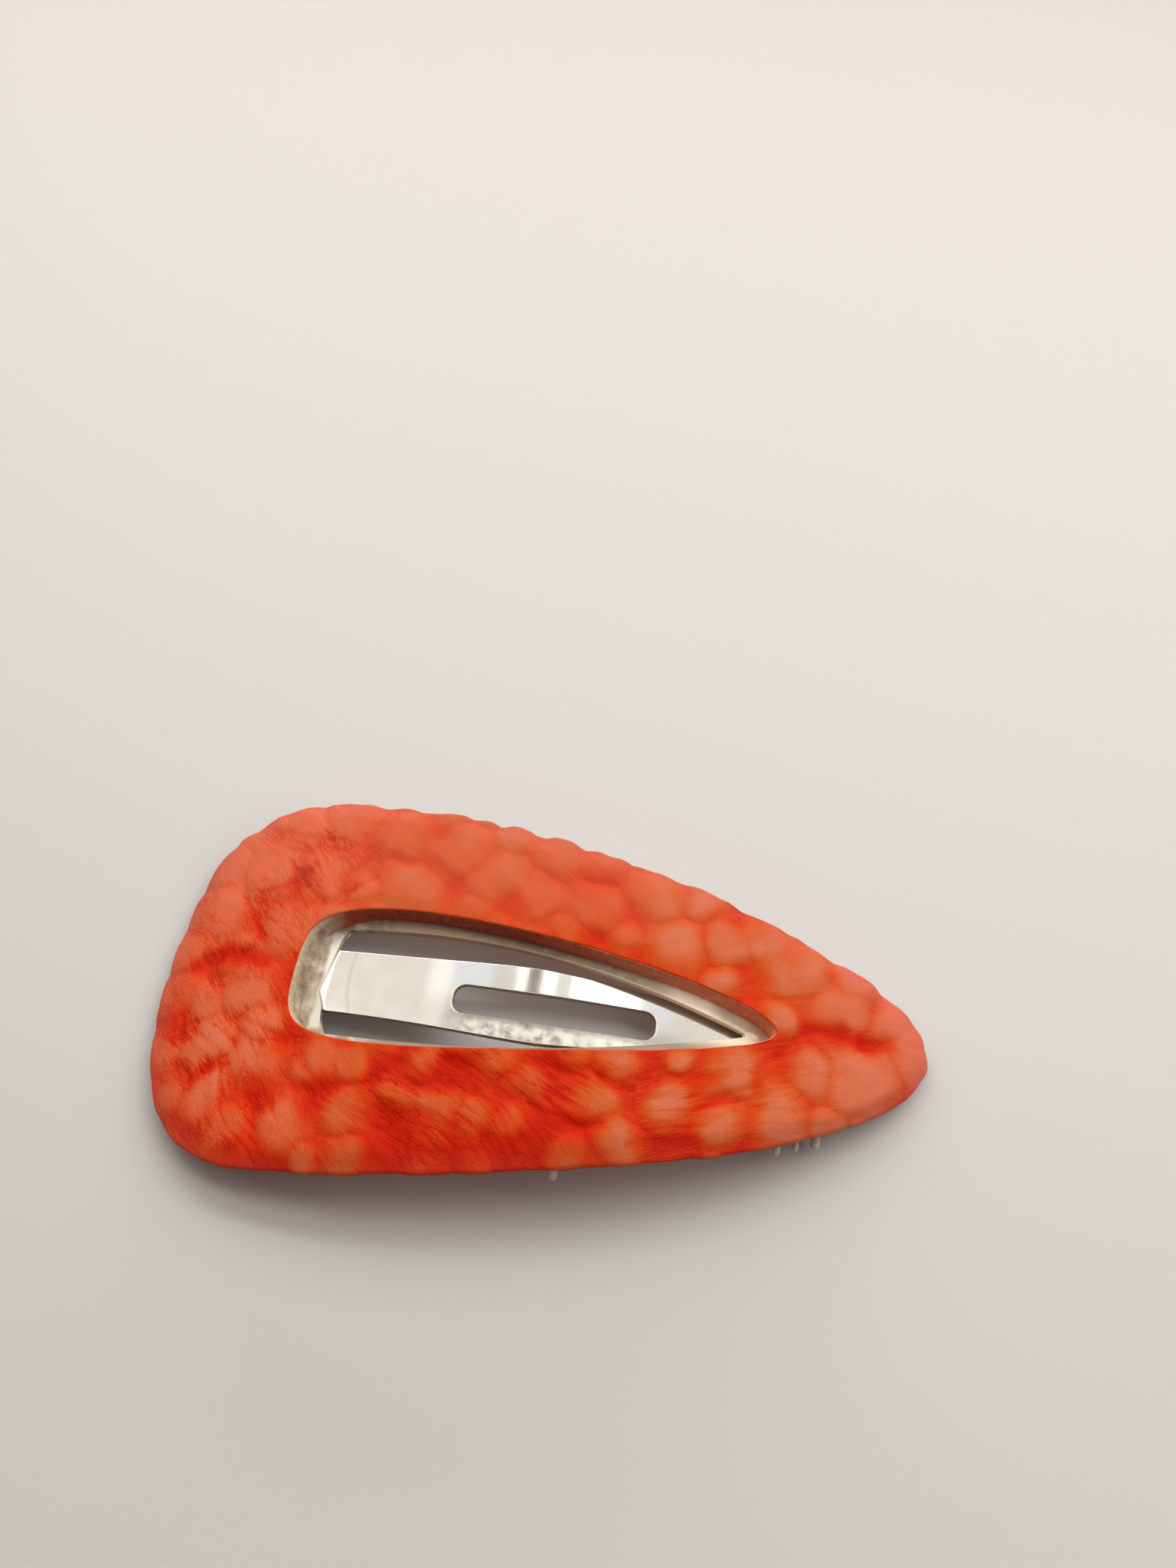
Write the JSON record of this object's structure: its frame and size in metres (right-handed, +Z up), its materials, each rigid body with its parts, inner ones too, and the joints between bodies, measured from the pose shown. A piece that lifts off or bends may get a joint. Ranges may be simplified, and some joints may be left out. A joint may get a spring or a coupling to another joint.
{
  "type": "leather-covered snap hair clip",
  "caption": "Arched teardrop snap hair clip: a slotted spring steel clip under a pebbled coral red leather cover with a window.",
  "frame": {"origin": "middle of the clip on the table: the bottom centre of its bounding box", "axes": "+X from the wide end to the tip, +Y across the clip, +Z up out of the leather face"},
  "size_m": [0.066, 0.034, 0.0068],
  "materials": {
    "leather": "pebbled, satin, coral red, with a dark cut edge in the window",
    "frame_steel": "dull bright steel with dried glue marks at the wide end",
    "tongue_steel": "bright polished steel",
    "rivet_steel": "plain steel"
  },
  "bodies": {
    "tongue": {"clip_tongue": "tongue_steel"},
    "frame": {"leather_cover": "leather", "clip_frame": "frame_steel", "tip_rivet": "rivet_steel"}
  },
  "joints": [
    {"name": "snap", "type": "hinge", "parent": "tongue", "child": "frame", "pos_m": [-0.01885, 0, 0.0026], "axis": [0, -1, 0], "range_deg": [0, 20]}
  ]
}
